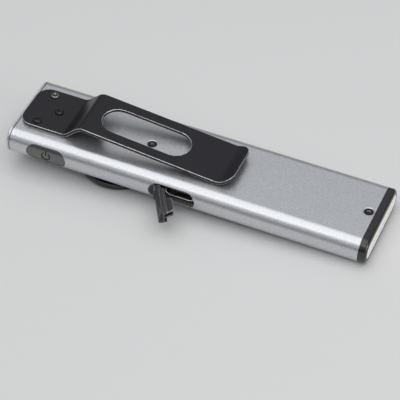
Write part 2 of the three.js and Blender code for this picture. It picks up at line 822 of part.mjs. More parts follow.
// The flap is drawn shut, about its hinge, and then swung open
const coverStart = HINGE_X + STRAP_LENGTH;
const coverBack = SOCKET_FRONT_Y - FLAP_CLEARANCE;
const skirtBack = PORT_FLOOR_Y - FLAP_CLEARANCE;
const skirtGap = SOCKET_HEIGHT / 2 + FLAP_CLEARANCE;
const plugBack = coverBack + PLUG_DEPTH;
const plugEnd = PLUG_START + PLUG_LENGTH;
const plugPlan = new THREE.Shape([
  new THREE.Vector2(PLUG_START, coverBack - SEAT),
  new THREE.Vector2(plugEnd, coverBack - SEAT),
  new THREE.Vector2(plugEnd - PLUG_TAPER, plugBack),
  new THREE.Vector2(PLUG_START + PLUG_TAPER / 2, plugBack),
]);
const plugMouth = stadium(shellInnerWidth - 2 * RUNNING, shellInnerHeight - 2 * RUNNING);
const flap = cut(
  join(
    cut(
      recess(FLAP_CLEARANCE, SIDE_Y - 1, skirtBack).intersect(
        box(coverStart, PORT_END, SIDE_Y - 1, skirtBack + 1, FRONT_Z, BACK_Z),
      ),
      box(coverStart - 1, PORT_END + 1, coverBack, skirtBack + 1, -skirtGap, skirtGap),
    ),
    box(
      HINGE_X,
      coverStart + SEAT,
      HINGE_Y - KNUCKLE_RADIUS,
      HINGE_Y + KNUCKLE_RADIUS,
      -STRAP_HEIGHT / 2,
      STRAP_HEIGHT / 2,
    ),
    rod(KNUCKLE_RADIUS, -STRAP_HEIGHT / 2, STRAP_HEIGHT / 2, HINGE_X, HINGE_Y),
    alongZ(plugPlan, -PLUG_HEIGHT / 2, PLUG_HEIGHT / 2).intersect(
      alongY(plugMouth, coverBack - 1, plugBack + 1, SOCKET_X),
    ),
  ),
  box(PLUG_START - 1, plugEnd + 1, coverBack + FIT, plugBack + 1, -PLUG_SLOT / 2, PLUG_SLOT / 2),
);
const flapHinge = new THREE.Group();
flapHinge.position.set(HINGE_X, HINGE_Y, 0);
flapHinge.rotation.z = THREE.MathUtils.degToRad(-FLAP_OPEN);
flashlight.add(flapHinge);
place("port_flap", flap.translate([-HINGE_X, -HINGE_Y, 0]), "rubber", flapHinge);

// Thumb switch on the front: a guard ring with a neck and collar, and the cap inside it

const ringFace = FRONT_Z - RING_HEIGHT;
const flangeTop = ringFace + RING_FLANGE;
const ledge = ringFace + THUMB_LEDGE;
const collarTop = FRONT_Z + WALL;
const collarRadius = THUMB_HOLE_RADIUS - FIT;
const ringBore = THUMB_CAP_RADIUS + RUNNING;
const ringCounterbore = collarRadius - COLLAR_WALL;
place(
  "thumb_switch_ring",
  turned(
    [
      [ringBore, ringFace],
      [RING_RADIUS - RING_EDGE, ringFace],
      [RING_RADIUS, ringFace + RING_EDGE],
      [RING_RADIUS, flangeTop - RING_EDGE],
      [RING_RADIUS - RING_EDGE, flangeTop],
      [NECK_RADIUS, flangeTop],
      [NECK_RADIUS, FRONT_Z - SEAT],
      [collarRadius, FRONT_Z - SEAT],
      [collarRadius, collarTop],
      [ringCounterbore, collarTop],
      [ringCounterbore, ledge],
      [ringBore, ledge],
      [ringBore, ringFace],
    ],
    THUMB_X,
    0,
    RING_STEPS,
  ),
  "darkMetal",
);

const capFace = ringFace + THUMB_CAP_SINK;
const capFlange = ledge + SEAT;
const capTop = capFlange + THUMB_FLANGE;
place(
  "thumb_switch_cap",
  turned(
    [
      [0, capFace + THUMB_CAP_DISH],
      [THUMB_CAP_RADIUS / 2, capFace + THUMB_CAP_DISH * 0.75],
      [THUMB_CAP_RADIUS - RING_EDGE, capFace],
      [THUMB_CAP_RADIUS, capFace + RING_EDGE],
      [THUMB_CAP_RADIUS, capFlange],
      [ringCounterbore - RUNNING, capFlange],
      [ringCounterbore - RUNNING, capTop],
      [0, capTop],
    ],
    THUMB_X,
    0,
    RING_STEPS,
  ),
  "rubber",
);

const tactTop = BOARD_BOTTOM - SEAT;
const tactBottom = tactTop - TACT_HEIGHT;
const tactHalf = TACT_SIDE / 2;
const thumbPlungerBottom = capTop + SEAT;
const thumbPlungerTop = tactBottom + TACT_PLUNGER_IN;
place(
  "thumb_switch_body",
  cut(
    box(THUMB_X - tactHalf, THUMB_X + tactHalf, -tactHalf, tactHalf, tactBottom, tactTop),
    rod(
      TACT_PLUNGER_RADIUS + RUNNING,
      tactBottom - 1,
      thumbPlungerTop + THUMB_TRAVEL + SEAT,
      THUMB_X,
      0,
    ),
  ),
  "steel",
);
place(
  "thumb_switch_plunger",
  rod(TACT_PLUNGER_RADIUS, thumbPlungerBottom, thumbPlungerTop, THUMB_X, 0),
  "plastic",
);

// Circuit board and its two large parts

place(
  "circuit_board",
  box(BOARD_START, BOARD_END, -BOARD_HALF_WIDTH, BOARD_HALF_WIDTH, BOARD_BOTTOM, BOARD_TOP),
  "board",
);

function onBoard(x, y, side, height) {
  const foot = BOARD_TOP + SEAT;
  return alongZ(roundedRectangle(side, side, side / 10), foot, foot + height, x, y);
}

place("driver_chip", onBoard(CHIP_X, CHIP_Y, CHIP_SIDE, CHIP_HEIGHT), "plastic");
place("power_coil", onBoard(COIL_X, COIL_Y, COIL_SIDE, COIL_HEIGHT), "foam");

// Chassis: rails joined by cross bars, a screw boss, and the plate that is the port's floor

const railOut = HALF_WIDTH - RAIL_OUT;
const railIn = railOut - RAIL_WIDTH;
const railEnd = SPIGOT_START - FIT;
const barBottom = BOARD_TOP + FIT;
const barTop = barBottom + BAR_HEIGHT;
const portEnds = [PORT_START - FIT, PORT_END + FIT];
const plateBack = PORT_FLOOR_Y + PORT_PLATE;

function rail(x0, x1, side) {
  const [y0, y1] = side > 0 ? [railIn, railOut] : [-railOut, -railIn];
  return box(x0, x1, y0, y1, -RAIL_HEIGHT / 2, RAIL_HEIGHT / 2);
}

function crossBar(x) {
  return box(x, x + BAR_WIDTH, -railOut + SEAT, railOut - SEAT, barBottom, barTop);
}

function portPost(x) {
  return box(x, x + BAR_WIDTH, -railOut, plateBack, -RAIL_HEIGHT / 2, RAIL_HEIGHT / 2);
}

const chassis = cut(
  join(
    rail(BOARD_START, railEnd, 1),
    rail(RAIL_START, portEnds[0], -1),
    rail(portEnds[1], railEnd, -1),
    crossBar(RAIL_START),
    crossBar(BODY_SCREW_MID_X - BAR_WIDTH / 2),
    crossBar(BOARD_END + FIT),
    crossBar(railEnd - BAR_WIDTH),
    portPost(portEnds[0] - BAR_WIDTH),
    portPost(portEnds[1]),
    alongY(
      roundedRectangle(PORT_LENGTH + 2 * FIT + 2 * SEAT, PORT_PLATE_HEIGHT, BAR_WIDTH / 2),
      PORT_FLOOR_Y,
      plateBack,
      PORT_X,
    ),
    rod(BOSS_RADIUS, barBottom, CAVITY_Z - FIT, BODY_SCREW_MID_X, 0),
  ),
  rod(BODY_SCREW_RADIUS + FIT, boardScrewTip - FIT, BACK_Z, BODY_SCREW_MID_X, 0),
  alongY(
    stadium(SOCKET_WIDTH + 2 * FIT, SOCKET_HEIGHT + 2 * FIT),
    SOCKET_FRONT_Y - 1,
    plateBack + 1,
    SOCKET_X,
  ),
  crossRod(ANCHOR_STEM_RADIUS + FIT, PORT_FLOOR_Y - 1, plateBack + 1, anchorStemX, 0),
);
place("chassis", chassis, "plastic");

// Cell on its foam pad

const cellEnd = railEnd - BAR_WIDTH - CELL_GAP;
const cellBottom = PAD_THICKNESS + 2 * SEAT - CAVITY_Z;
const cellTop = CAVITY_Z - CELL_GAP;
const cellLength = cellEnd - CELL_START;
const cellMiddle = (CELL_START + cellEnd) / 2;
const cellCrown = roundedRectangle(CELL_WIDTH, cellTop - cellBottom, CELL_CORNER);
place(
  "battery_cell",
  alongX(cellCrown, CELL_START, cellEnd).translate([0, 0, (cellTop + cellBottom) / 2]),
  "foil",
);
place(
  "battery_pad",
  alongZ(
    roundedRectangle(cellLength - 2 * CELL_CORNER, CELL_WIDTH - 2 * CELL_CORNER, CELL_CORNER),
    SEAT - CAVITY_Z,
    SEAT + PAD_THICKNESS - CAVITY_Z,
    cellMiddle,
  ),
  "foam",
);

// Wires: the cell's two leads, and the emitters' pair along the sides of the cell

const wireZ = barTop + WIRE_RADIUS + WIRE_LIFT;
const solderZ = BOARD_TOP + WIRE_LIFT;
const solderX = BOARD_END - 4 * WIRE_RADIUS;
["red", "black"].forEach((finish, i) => {
  const y = CELL_LEAD_Y + i * CELL_LEAD_SPACING;
  place(
    `battery_lead_${finish}`,
    wire([
      [CELL_START - SEAT, y, wireZ],
      [BOARD_END + BAR_WIDTH / 2, y, wireZ],
      [solderX + WIRE_RADIUS, y, (wireZ + solderZ) / 2],
      [solderX, y, solderZ],
    ]),
    finish,
  );
  const side = i === 0 ? 1 : -1;
  const wireY = side * (CELL_WIDTH / 4 + railIn / 2);
  const padY = side * (BOARD_HALF_WIDTH - 2 * WIRE_RADIUS);
  place(
    `led_wire_${finish}`,
    wire([
      [solderX, padY, solderZ],
      [solderX + WIRE_RADIUS, padY, wireZ],
      [CELL_START + WIRE_RADIUS, wireY, wireZ],
      [CELL_START + 10 * WIRE_RADIUS, wireY, wireZ],
      [cellMiddle, wireY, wireZ],
      [cellEnd, wireY, wireZ],
      [ledBoardBack - SEAT, wireY, wireZ],
    ]),
    finish,
  );
});

export default flashlight;
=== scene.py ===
"""Looks of the flat pocket flashlight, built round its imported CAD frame.

Metres; +X runs from tail to lens, +Z out of the side with the clip, -Y out of the button's side.
"""

import json
import math

import bmesh
import bpy
from mathutils import Matrix, Vector
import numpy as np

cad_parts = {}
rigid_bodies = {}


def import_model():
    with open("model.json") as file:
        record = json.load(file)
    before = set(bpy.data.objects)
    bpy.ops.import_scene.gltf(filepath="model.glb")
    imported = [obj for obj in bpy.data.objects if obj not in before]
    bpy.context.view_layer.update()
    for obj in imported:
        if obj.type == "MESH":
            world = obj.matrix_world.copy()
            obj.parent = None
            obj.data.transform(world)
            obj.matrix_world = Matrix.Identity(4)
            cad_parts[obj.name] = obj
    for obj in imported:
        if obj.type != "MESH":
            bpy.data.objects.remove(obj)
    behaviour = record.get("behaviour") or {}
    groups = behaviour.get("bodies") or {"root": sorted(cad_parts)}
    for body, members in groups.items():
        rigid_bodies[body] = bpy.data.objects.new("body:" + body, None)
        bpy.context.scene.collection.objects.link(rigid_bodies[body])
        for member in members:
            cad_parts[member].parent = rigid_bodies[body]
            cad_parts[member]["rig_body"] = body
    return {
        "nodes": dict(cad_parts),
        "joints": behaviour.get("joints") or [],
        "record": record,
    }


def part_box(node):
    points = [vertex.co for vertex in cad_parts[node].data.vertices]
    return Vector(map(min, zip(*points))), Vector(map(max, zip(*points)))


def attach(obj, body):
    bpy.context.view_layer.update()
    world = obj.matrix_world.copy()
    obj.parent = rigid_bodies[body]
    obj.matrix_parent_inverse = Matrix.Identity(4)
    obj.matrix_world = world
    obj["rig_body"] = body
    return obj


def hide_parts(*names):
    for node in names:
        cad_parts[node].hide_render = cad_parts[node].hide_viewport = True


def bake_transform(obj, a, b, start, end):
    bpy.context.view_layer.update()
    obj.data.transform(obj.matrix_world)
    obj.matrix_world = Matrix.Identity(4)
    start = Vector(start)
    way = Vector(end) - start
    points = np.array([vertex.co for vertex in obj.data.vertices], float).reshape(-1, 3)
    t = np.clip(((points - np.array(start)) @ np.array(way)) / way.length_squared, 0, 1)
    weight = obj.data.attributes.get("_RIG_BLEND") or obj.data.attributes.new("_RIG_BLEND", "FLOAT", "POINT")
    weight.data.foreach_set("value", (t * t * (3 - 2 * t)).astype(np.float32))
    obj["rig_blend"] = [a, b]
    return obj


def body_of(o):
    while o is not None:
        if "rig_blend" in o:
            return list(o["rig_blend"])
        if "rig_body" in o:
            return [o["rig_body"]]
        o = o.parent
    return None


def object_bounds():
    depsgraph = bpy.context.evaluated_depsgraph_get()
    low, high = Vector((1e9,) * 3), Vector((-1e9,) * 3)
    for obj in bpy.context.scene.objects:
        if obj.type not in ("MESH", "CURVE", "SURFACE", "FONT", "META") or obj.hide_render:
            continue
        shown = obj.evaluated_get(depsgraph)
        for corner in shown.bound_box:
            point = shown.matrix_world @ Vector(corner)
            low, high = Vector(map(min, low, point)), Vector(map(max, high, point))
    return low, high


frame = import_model()
cad_low, cad_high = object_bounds()

MM = 0.001

# Camera of the photograph
VIEW_AZIMUTH = math.radians(21.72)
VIEW_ELEVATION = math.radians(44.93)
VIEW_ROLL = math.radians(2.0)
VIEW_DISTANCE = 500.08 * MM
VIEW_TARGET = Vector((60.31, -12.29, 0.9)) * MM
LENS = 160.67
SENSOR = 36.0

# Studio: pale floor, a sky that is darker near the horizon, and softboxes
FLOOR_SIZE = 6.0
FLOOR_COLOUR = (0.7, 0.7, 0.7, 1)
FLOOR_ROUGHNESS = 0.9
FLOOR_SPECULAR = 0.2
SKY_COLOUR = (0.97, 0.985, 1.0, 1)
SKY_HORIZON = 0.06
SKY_HIGH = 0.53
SKY_RISE = 0.7
# Name, place, width and height, radiance
LAMPS = (
    ("overhead", (0.05, -0.05, 0.62), (1.0, 0.71), 1.02),
    ("strip", (0.02, -0.36, 0.52), (0.6, 0.03), 5),
    ("nose", (0.7, -0.08, 0.14), (0.4, 0.35), 3.3),
)

# Meshes
SHARP_ANGLE = math.radians(30)
FLAT_ANGLE = math.radians(0.5)
MERGE = 0.001 * MM
EDGE_SEGMENTS = 3
RIM_MATERIAL = 1
SAME_MATERIAL = -1

# Edge radius in millimetres of the pieces that show and only get rounded edges
ROUNDED = {
    "body_shell": 0.06,
    "tail_cap": 0.06,
    "head_bezel": 0.06,
    "lens": 0.06,
    "usb_socket_shell": 0.05,
    "usb_socket_tongue": 0.05,
    "thumb_switch_ring": 0.15,
    "thumb_switch_cap": 0.15,
}
CLIP_SCREWS = {"clip_screw_1": 0.2, "clip_screw_2": 0.2, "clip_screw_3": 0.2}
BODY_SCREWS = {"body_screw_mid": 0.08, "body_screw_head": 0.08}
BUTTON_EDGE = 0.3

# Clip: its rims, and the first and last x of each softened bend
CLIP_RIM = 0.26 * MM
SCREW_HOLE_REACH = 1.1 * MM
BENDS = ((14.9 * MM, 17.9 * MM), (19.2 * MM, 22.3 * MM), (62.4 * MM, 66.0 * MM))
BEND_STEPS = 12

# On-off sign on the button
SIDE_RADIUS = 3.7 * MM
MARK_RADIUS = 1.25 * MM
MARK_GAP = math.radians(38)
MARK_BAR = (0.3 * MM, 1.75 * MM)
MARK_WIRE = 0.16 * MM
MARK_STEPS = 28
BAR_STEPS = 4
WIRE_ROUNDING = 2

# Gilt contacts in the socket
CONTACTS = 12
CONTACT_PITCH = 0.5 * MM
CONTACT_WIDTH = 0.25 * MM
CONTACT_LENGTH = 2.4 * MM
CONTACT_HEIGHT = 0.03 * MM
CONTACT_SET_BACK = 0.25 * MM
CONTACT_EDGE = CONTACT_HEIGHT / 3
CONTACT_EDGE_SEGMENTS = 2
TONGUE_HALF_HEIGHT = 0.35 * MM

# Port cover: voxels, edge wear with painted edge sheen, the strap at the hinge, the fold behind it and the
# beads on the flap
COVER_VOXEL = 0.14 * MM
COVER_SMOOTHING = 10
COVER_SMOOTHING_FACTOR = 0.5
WEAR_AND_SHEEN = "wear"
WEAR_AND_SHEEN_SPREAD = 2
WEAR_AND_SHEEN_START = 0.004 * MM
WEAR_AND_SHEEN_FULL = 0.012 * MM
# Pale colour on the cover's convex edges: scuffs, and painted sheen that stands in for edge highlights
SCUFF_AND_SHEEN_COLOUR = (0.34, 0.34, 0.35)
SCUFF_AND_SHEEN_GRAIN = 0.8 * MM
SCUFF_AND_SHEEN_DETAIL = 4.0
SCUFF_AND_SHEEN_LEAST = 0.15
ANCHOR_OVERLAP = 0.3 * MM
STRAP_THICKNESS = 1.3 * MM
STRAP_HALF_HEIGHT = 2.3 * MM
STRAP_OUTER_HALF_HEIGHT = 1.2 * MM
STRAP_DEPTHS = (0.45 * MM, 0.4 * MM)
STRAP_REACHES = (1.0 * MM, 2.2 * MM)
FOLD_DEPTH = 1.25 * MM
FOLD_REACH = 1.7 * MM
FOLD_PAST_PIN = 0.1 * MM
FOLD_THICKNESS = 0.7 * MM
BEADS = (0.85 * MM, 1.85 * MM)
BEAD_RUN = (1.6 * MM, 9.2 * MM)
BEAD_THICKNESS = 0.42 * MM
BEAD_HALF_HEIGHT = 2.58 * MM
FLAP_OPEN = math.radians(60)
BEND_REACH = 0.7 * MM

# Noise keeps near a half; this is the span that it mostly fills
NOISE_LOW = 0.3
NOISE_HIGH = 0.7
# Sockets of the Mix node when it mixes colours
MIX_A = 6
MIX_B = 7
MIX_RESULT = 2


# Shader helpers


def new_material(name):
    """A node material: the material, its node tree and its Principled shader."""
    material = bpy.data.materials.new(name)
    material.use_nodes = True
    return material, material.node_tree, material.node_tree.nodes["Principled BSDF"]


def add_node(tree, kind, **settings):
    node = tree.nodes.new(kind)
    for key, value in settings.items():
        if key in node.inputs:
            node.inputs[key].default_value = value
        else:
            setattr(node, key, value)
    return node


def noise(tree, grain, detail=2.0, stretch=(1, 1, 1)):
    """Noise in the object's own coordinates whose features are about grain metres across."""
    place = add_node(tree, "ShaderNodeTexCoord")
    mapping = add_node(tree, "ShaderNodeMapping", Scale=stretch)
    texture = add_node(tree, "ShaderNodeTexNoise", Scale=1 / grain, Detail=detail)
    tree.links.new(place.outputs["Object"], mapping.inputs["Vector"])
    tree.links.new(mapping.outputs["Vector"], texture.inputs["Vector"])
    return texture.outputs["Fac"]


def spread(tree, value, low, high):
    """Maps noise on low to high."""
    node = add_node(tree, "ShaderNodeMapRange")
    node.inputs["From Min"].default_value = NOISE_LOW
    node.inputs["From Max"].default_value = NOISE_HIGH
    node.inputs["To Min"].default_value = low
    node.inputs["To Max"].default_value = high
    tree.links.new(value, node.inputs["Value"])
    return node.outputs["Result"]


def between(tree, value, dark, light):
    """A colour that runs from dark to light as noise rises."""
    node = add_node(tree, "ShaderNodeMix", data_type="RGBA")
    tree.links.new(spread(tree, value, 0, 1), node.inputs["Factor"])
    node.inputs[MIX_A].default_value = (*dark, 1)
    node.inputs[MIX_B].default_value = (*light, 1)
    return node.outputs[MIX_RESULT]


def scuffed_and_sheened(tree, colour, pale, grain):
    """Turns the colour pale in patches along convex edges, by the mesh's own wear values: scuffs, and
    painted edge sheen.
    """
    edge = add_node(tree, "ShaderNodeAttribute", attribute_name=WEAR_AND_SHEEN)
    ramp = add_node(tree, "ShaderNodeMapRange")
    ramp.inputs["From Min"].default_value = WEAR_AND_SHEEN_START
    ramp.inputs["From Max"].default_value = WEAR_AND_SHEEN_FULL
    tree.links.new(edge.outputs["Fac"], ramp.inputs["Value"])
    amount = add_node(tree, "ShaderNodeMath", operation="MULTIPLY", use_clamp=True)
    patches = noise(tree, grain, detail=SCUFF_AND_SHEEN_DETAIL)
    tree.links.new(ramp.outputs["Result"], amount.inputs[0])
    tree.links.new(spread(tree, patches, SCUFF_AND_SHEEN_LEAST, 1), amount.inputs[1])
    node = add_node(tree, "ShaderNodeMix", data_type="RGBA")
    tree.links.new(amount.outputs["Value"], node.inputs["Factor"])
    tree.links.new(colour, node.inputs[MIX_A])
    node.inputs[MIX_B].default_value = (*pale, 1)
    return node.outputs[MIX_RESULT]


def bump(tree, shader, value, depth):
    node = add_node(tree, "ShaderNodeBump", Strength=1, Distance=depth)
    tree.links.new(value, node.inputs["Height"])
    tree.links.new(node.outputs["Normal"], shader.inputs["Normal"])


def shade(colour, change):
    return tuple(min(1, c * (1 + change)) for c in colour)


def grained(
    name,
    colour,
    roughness,
    grain,
    contrast,
    rough_spread,
    depth,
    metallic=0,
    specular=None,
    ior=None,
):
    """A surface with a fine grain in its colour, gloss and height; grain and depth are in mm."""
    material, tree, shader = new_material(name)
    fine = noise(tree, grain * MM)
    tinted = between(tree, fine, shade(colour, -contrast), shade(colour, contrast))
    tree.links.new(tinted, shader.inputs["Base Color"])
    rough = spread(tree, fine, roughness - rough_spread, roughness + rough_spread)
    tree.links.new(rough, shader.inputs["Roughness"])
    shader.inputs["Metallic"].default_value = metallic
    if specular is not None:
        shader.inputs["Specular IOR Level"].default_value = specular
    if ior is not None:
        shader.inputs["IOR"].default_value = ior
    bump(tree, shader, fine, depth * MM)
    return material


# Finishes: the slots of the record, and the details that differ from their slot


GRAINED = {
    # Clear-anodised aluminium, bead-blasted to a fine sparkling grain
    "blasted_aluminium": dict(
        colour=(0.62, 0.635, 0.665), roughness=0.34, metallic=0.85,
        grain=0.28, contrast=0.15, rough_spread=0.06, depth=0.015,
    ),
    "black_anodised": dict(
        colour=(0.0085, 0.0085, 0.012), roughness=0.17, specular=0.75,
        grain=0.18, contrast=0.25, rough_spread=0.04, depth=0.003,
    ),
    # Black-coated spring steel, satin
    "black_steel": dict(
        colour=(0.0075, 0.0075, 0.0115), roughness=0.32, specular=0.42,
        grain=0.2, contrast=0.3, rough_spread=0.05, depth=0.004,
    ),
    # Matte moulded silicone
    "grey_rubber": dict(
        colour=(0.05, 0.05, 0.053), roughness=0.52,
        grain=0.3, contrast=0.15, rough_spread=0.06, depth=0.008,
    ),
    "seal_rubber": dict(
        colour=(0.012, 0.012, 0.013), roughness=0.7,
        grain=0.3, contrast=0.25, rough_spread=0.08, depth=0.01,
    ),
    "white_plastic": dict(
        colour=(0.86, 0.86, 0.84), roughness=0.35,
        grain=0.4, contrast=0.02, rough_spread=0.05, depth=0.004,
    ),
    "emitter": dict(
        colour=(0.88, 0.78, 0.3), roughness=0.4,
        grain=0.15, contrast=0.08, rough_spread=0.05, depth=0.01,
    ),
    "plain_aluminium": dict(
        colour=(0.7, 0.71, 0.73), roughness=0.32, metallic=1,
        grain=0.3, contrast=0.04, rough_spread=0.06, depth=0.004,
    ),
    "black_plastic": dict(
        colour=(0.022, 0.022, 0.024), roughness=0.45,
        grain=0.25, contrast=0.2, rough_spread=0.06, depth=0.008,
    ),
    "board_green": dict(
        colour=(0.045, 0.22, 0.1), roughness=0.35,
        grain=0.9, contrast=0.12, rough_spread=0.05, depth=0.006,
    ),
    "foam_grey": dict(
        colour=(0.22, 0.22, 0.23), roughness=0.85,
        grain=0.4, contrast=0.3, rough_spread=0.05, depth=0.06,
    ),
    "cell_foil": dict(
        colour=(0.68, 0.68, 0.7), roughness=0.34, metallic=1,
        grain=1.2, contrast=0.05, rough_spread=0.08, depth=0.02,
    ),
    "wire_red": dict(
        colour=(0.48, 0.025, 0.022), roughness=0.45,
        grain=0.5, contrast=0.08, rough_spread=0.05, depth=0.004,
    ),
    "wire_black": dict(
        colour=(0.018, 0.018, 0.018), roughness=0.45,
        grain=0.5, contrast=0.2, rough_spread=0.05, depth=0.004,
    ),
    # The clip's rims, rubbed down to the steel: bare metal that also paints bright edge highlights
    "burnished_highlight_edge": dict(
        colour=(0.62, 0.62, 0.63), roughness=0.3, metallic=1,
        grain=0.25, contrast=0.3, rough_spread=0.1, depth=0.004,
    ),
    # Oiled black screw heads, glossier than the clip
    "black_screw": dict(
        colour=(0.045, 0.045, 0.048), roughness=0.22, metallic=1,
        grain=0.2, contrast=0.25, rough_spread=0.05, depth=0.003,
    ),
    # The rims of the screw heads, lightly rubbed bare, which also paints glints on them
    "rubbed_screw_glint": dict(
        colour=(0.32, 0.32, 0.33), roughness=0.24, metallic=1,
        grain=0.2, contrast=0.2, rough_spread=0.05, depth=0.003,
    ),
    # The button's face, moulded smooth and lacquered, so it mirrors the floor
    "glossy_rubber": dict(
        colour=(0.03, 0.03, 0.033), roughness=0.27, specular=1.0, ior=1.75,
        grain=0.3, contrast=0.15, rough_spread=0.04, depth=0.003,
    ),
    # The raised sign on the button, matte and darker than its face
    "mark_rubber": dict(
        colour=(0.01, 0.01, 0.011), roughness=0.65, specular=0.2,
        grain=0.3, contrast=0.2, rough_spread=0.06, depth=0.008,
    ),
    # The port cover's silicone, its convex edges painted pale: scuffs, and a painted edge sheen
    "scuffed_sheened_rubber": dict(
        colour=(0.022, 0.022, 0.028), roughness=0.55,
        grain=0.35, contrast=0.45, rough_spread=0.08, depth=0.03,
    ),
    "gold_contact": dict(
        colour=(0.83, 0.62, 0.27), roughness=0.25, metallic=1,
        grain=0.2, contrast=0.05, rough_spread=0.05, depth=0.002,
    ),
}


def scuff_and_sheen(material):
    """Turns the material's colour pale where the mesh is worn: scuffs, and painted edge sheen."""
    tree = material.node_tree
    colour = tree.nodes["Principled BSDF"].inputs["Base Color"]
    plain = colour.links[0].from_socket
    tree.links.new(scuffed_and_sheened(tree, plain, SCUFF_AND_SHEEN_COLOUR, SCUFF_AND_SHEEN_GRAIN), colour)


def milky_lens():
    """A diffusing window: pale body colour with light scattered just under the surface."""
    material, tree, shader = new_material("milky_lens")
    soft = noise(tree, 2.5 * MM)
    colour = between(tree, soft, (0.9, 0.865, 0.815), (0.94, 0.91, 0.865))
    tree.links.new(colour, shader.inputs["Base Color"])
    shader.inputs["Roughness"].default_value = 0.28
    shader.inputs["Subsurface Weight"].default_value = 0.4
    shader.inputs["Subsurface Radius"].default_value = (0.6, 0.5, 0.4)
    shader.inputs["Subsurface Scale"].default_value = 0.5 * MM
    bump(tree, shader, noise(tree, 0.3 * MM), 0.003 * MM)
    return material


def bright_steel():
    """Plated sheet steel with a faint drawn grain along the socket's depth."""
    material, tree, shader = new_material("bright_steel")
    drawn = noise(tree, 0.12 * MM, stretch=(1, 0.1, 1))
    colour = between(tree, drawn, (0.74, 0.73, 0.7), (0.84, 0.83, 0.8))
    tree.links.new(colour, shader.inputs["Base Color"])
    tree.links.new(spread(tree, drawn, 0.2, 0.3), shader.inputs["Roughness"])
    shader.inputs["Metallic"].default_value = 1
    bump(tree, shader, drawn, 0.002 * MM)
    return material


finishes = {name: grained(name, **look) for name, look in GRAINED.items()}
scuff_and_sheen(finishes["scuffed_sheened_rubber"])
finishes["milky_lens"] = milky_lens()
finishes["bright_steel"] = bright_steel()
slot_of = {part["node"]: part["material_slot"] for part in frame["record"]["subparts"]}


# Mesh helpers


def add_object(name, data):
    obj = bpy.data.objects.new(name, data)
    bpy.context.scene.collection.objects.link(obj)
    return obj


def evaluated_mesh(obj):
    graph = bpy.context.evaluated_depsgraph_get()
    return bpy.data.meshes.new_from_object(obj.evaluated_get(graph))


def smooth(obj):
    """Smooth shading that breaks at sharp edges, with flat faces kept flat."""
    obj.data.shade_smooth()
    obj.data.set_sharp_from_angle(angle=SHARP_ANGLE)
    weighted = obj.modifiers.new("flats", "WEIGHTED_NORMAL")
    weighted.keep_sharp = True


def shape_of(node):
    """The node's shape as an editable mesh, with its doubled corners joined."""
    source = frame["nodes"][node].data
    shape = bmesh.new()
    corners = [shape.verts.new(v.co) for v in source.vertices]
    for polygon in source.polygons:
        shape.faces.new([corners[i] for i in polygon.vertices])
    bmesh.ops.remove_doubles(shape, verts=shape.verts, dist=MERGE)
    return shape


def merge_flats(shape):
    """Joins the triangles of each flat face."""
    bmesh.ops.dissolve_limit(
        shape, angle_limit=FLAT_ANGLE, verts=shape.verts, edges=shape.edges
    )


def fill_holes(shape, screws):
    """Closes the holes that these screws fill."""
    for screw in screws:
        low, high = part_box(screw)
        axis = ((low + high) / 2).to_2d()
        walls = [
            face
            for face in shape.faces
            if all((v.co.to_2d() - axis).length < SCREW_HOLE_REACH for v in face.verts)
        ]
        bmesh.ops.delete(shape, geom=walls, context="FACES")
    rims = [edge for edge in shape.edges if edge.is_boundary]
    bmesh.ops.holes_fill(shape, edges=rims, sides=0)


def object_of(shape, name):
    mesh = bpy.data.meshes.new(name)
    shape.to_mesh(mesh)
    shape.free()
    return add_object(name, mesh)


def round_edges(obj, radius, segments=EDGE_SEGMENTS, material=SAME_MATERIAL):
    """The object's mesh with its sharp edges rounded, to edit; the rounding may have a material."""
    edge = obj.modifiers.new("edge", "BEVEL")
    edge.width = radius
    edge.segments = segments
    edge.limit_method = "ANGLE"
    edge.angle_limit = SHARP_ANGLE
    edge.miter_outer = "MITER_ARC"
    edge.material = material
    mesh = evaluated_mesh(obj)
    obj.modifiers.clear()
    shape = bmesh.new()
    shape.from_mesh(mesh)
    bpy.data.meshes.remove(mesh)
    bmesh.ops.remove_doubles(shape, verts=shape.verts, dist=MERGE)
    bmesh.ops.dissolve_degenerate(shape, edges=shape.edges, dist=MERGE)
    return shape


def finish_mesh(obj, shape):
    shape.to_mesh(obj.data)
    shape.free()
    smooth(obj)


# Pieces


def stand_for(obj, node, finish=None):
    """The piece rides on the node's body, replaces it and takes its finish."""
    slot = slot_of[node]
    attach(obj, body_of(frame["nodes"][node])[0])
    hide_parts(node)
    obj.data.materials.append(finishes[finish or slot])


def rounded_copy(node, radius, finish=None, rim_finish=None):
    """A piece with the node's shape and its sharp edges rounded."""
    shape = shape_of(node)
    merge_flats(shape)
    obj = object_of(shape, node + "_finished")
    stand_for(obj, node, finish)
    if rim_finish:
        obj.data.materials.append(finishes[rim_finish])
    rim = RIM_MATERIAL if rim_finish else SAME_MATERIAL
    finish_mesh(obj, round_edges(obj, radius, material=rim))


def dress_nodes():
    for node, radius in ROUNDED.items():
        rounded_copy(node, radius * MM)
    rounded_copy("side_button", BUTTON_EDGE * MM, "glossy_rubber")
    for node, radius in (CLIP_SCREWS | BODY_SCREWS).items():
        # Bare metal on the head rims: rubbed wear that also paints glints
        rounded_copy(node, radius * MM, "black_screw", "rubbed_screw_glint")
    for node, obj in frame["nodes"].items():
        obj.data.materials.clear()
        obj.data.materials.append(finishes[slot_of[node]])


def cut_across(shape, x):
    """Cuts the strip's faces at x; the lowest and the highest z of the cut."""
    parts = [*shape.verts, *shape.edges, *shape.faces]
    bmesh.ops.bisect_plane(shape, geom=parts, plane_co=(x, 0, 0), plane_no=(1, 0, 0))
    heights = [v.co.z for v in shape.verts if abs(v.co.x - x) < MERGE]
    return min(heights), max(heights)


def curve_between(t, first, rise, last, fall):
    """The cubic from first to last as t goes from 0 to 1, with these slopes at its ends."""
    back = 1 - t
    return (
        first * (1 + 2 * t) * back * back
        + rise * t * back * back
        + last * t * t * (3 - 2 * t)
        - fall * t * t * back
    )


